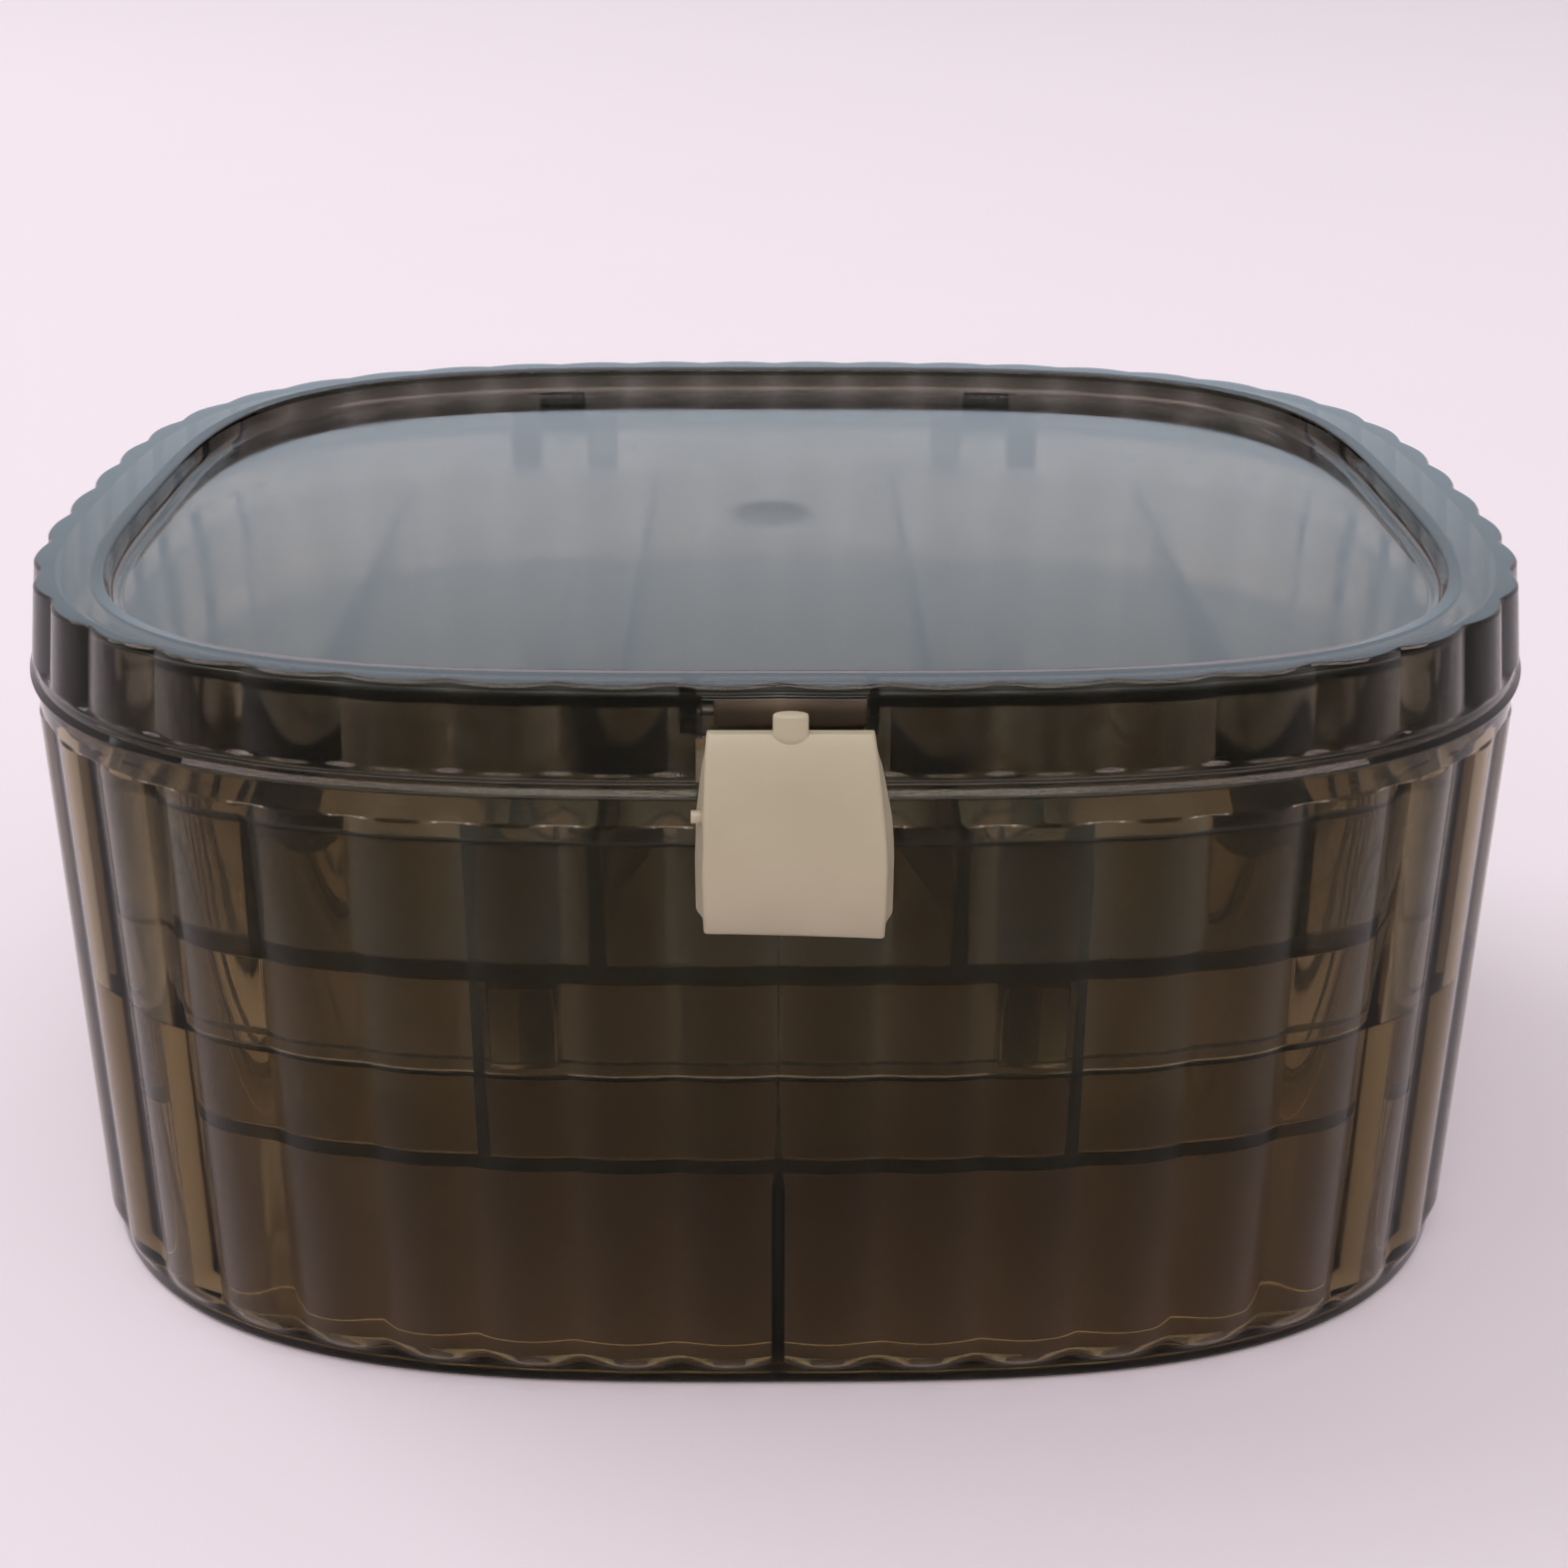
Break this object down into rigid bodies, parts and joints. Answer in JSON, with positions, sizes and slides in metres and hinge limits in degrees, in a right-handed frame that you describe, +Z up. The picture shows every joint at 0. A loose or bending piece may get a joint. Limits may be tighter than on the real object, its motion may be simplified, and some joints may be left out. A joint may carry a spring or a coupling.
{
  "type": "lidded jewellery box with lift-out trays",
  "caption": "Smoked, fluted oval-square jewellery box with a hinged lid, a front latch and stacked lift-out divided trays.",
  "frame": {"origin": "on the table, under the middle of the box's bounding box", "axes": "+Z up, the latch faces -Y and the hinges lie at +Y, +X to the right as seen from the front"},
  "size_m": [0.2406, 0.201, 0.1165],
  "materials": {
    "smoked_casing": "clear brown-grey smoked polystyrene, glossy, fluted outside",
    "smoked_lid": "clear brown-grey smoked polystyrene, glossy",
    "smoked_tray": "clear brown-grey smoked polystyrene, glossy",
    "cream_latch": "satin moulded cream plastic",
    "pin_steel": "plain drawn steel pin"
  },
  "bodies": {
    "box": {"casing": "smoked_casing", "hinge_pin_left": "pin_steel", "hinge_pin_right": "pin_steel"},
    "lid": {"lid": "smoked_lid", "latch_pin": "pin_steel"},
    "latch": {"latch": "cream_latch"},
    "middle_tray": {"middle_tray": "smoked_tray"},
    "top_tray": {"top_tray": "smoked_tray"}
  },
  "joints": [
    {"name": "lid_hinge", "type": "hinge", "parent": "box", "child": "lid", "pos_m": [0, 0.0977, 0.10085], "axis": [-1, 0, 0], "range_deg": [0, 110]},
    {"name": "latch_swing", "type": "hinge", "parent": "lid", "child": "latch", "pos_m": [0, -0.08818, 0.1112], "axis": [-1, 0, 0], "range_deg": [0, 38]},
    {"name": "middle_tray_lift", "type": "slide", "parent": "box", "child": "middle_tray", "axis": [0, 0, 1], "range_m": [0, 0.0655]},
    {"name": "top_tray_lift", "type": "slide", "parent": "box", "child": "top_tray", "axis": [0, 0, 1], "range_m": [0, 0.0676]}
  ],
  "couplings": [
    {"joint": "middle_tray_lift", "follows": "lid_hinge", "m_per_rad": 0.0341},
    {"joint": "top_tray_lift", "follows": "lid_hinge", "m_per_rad": 0.0352}
  ]
}
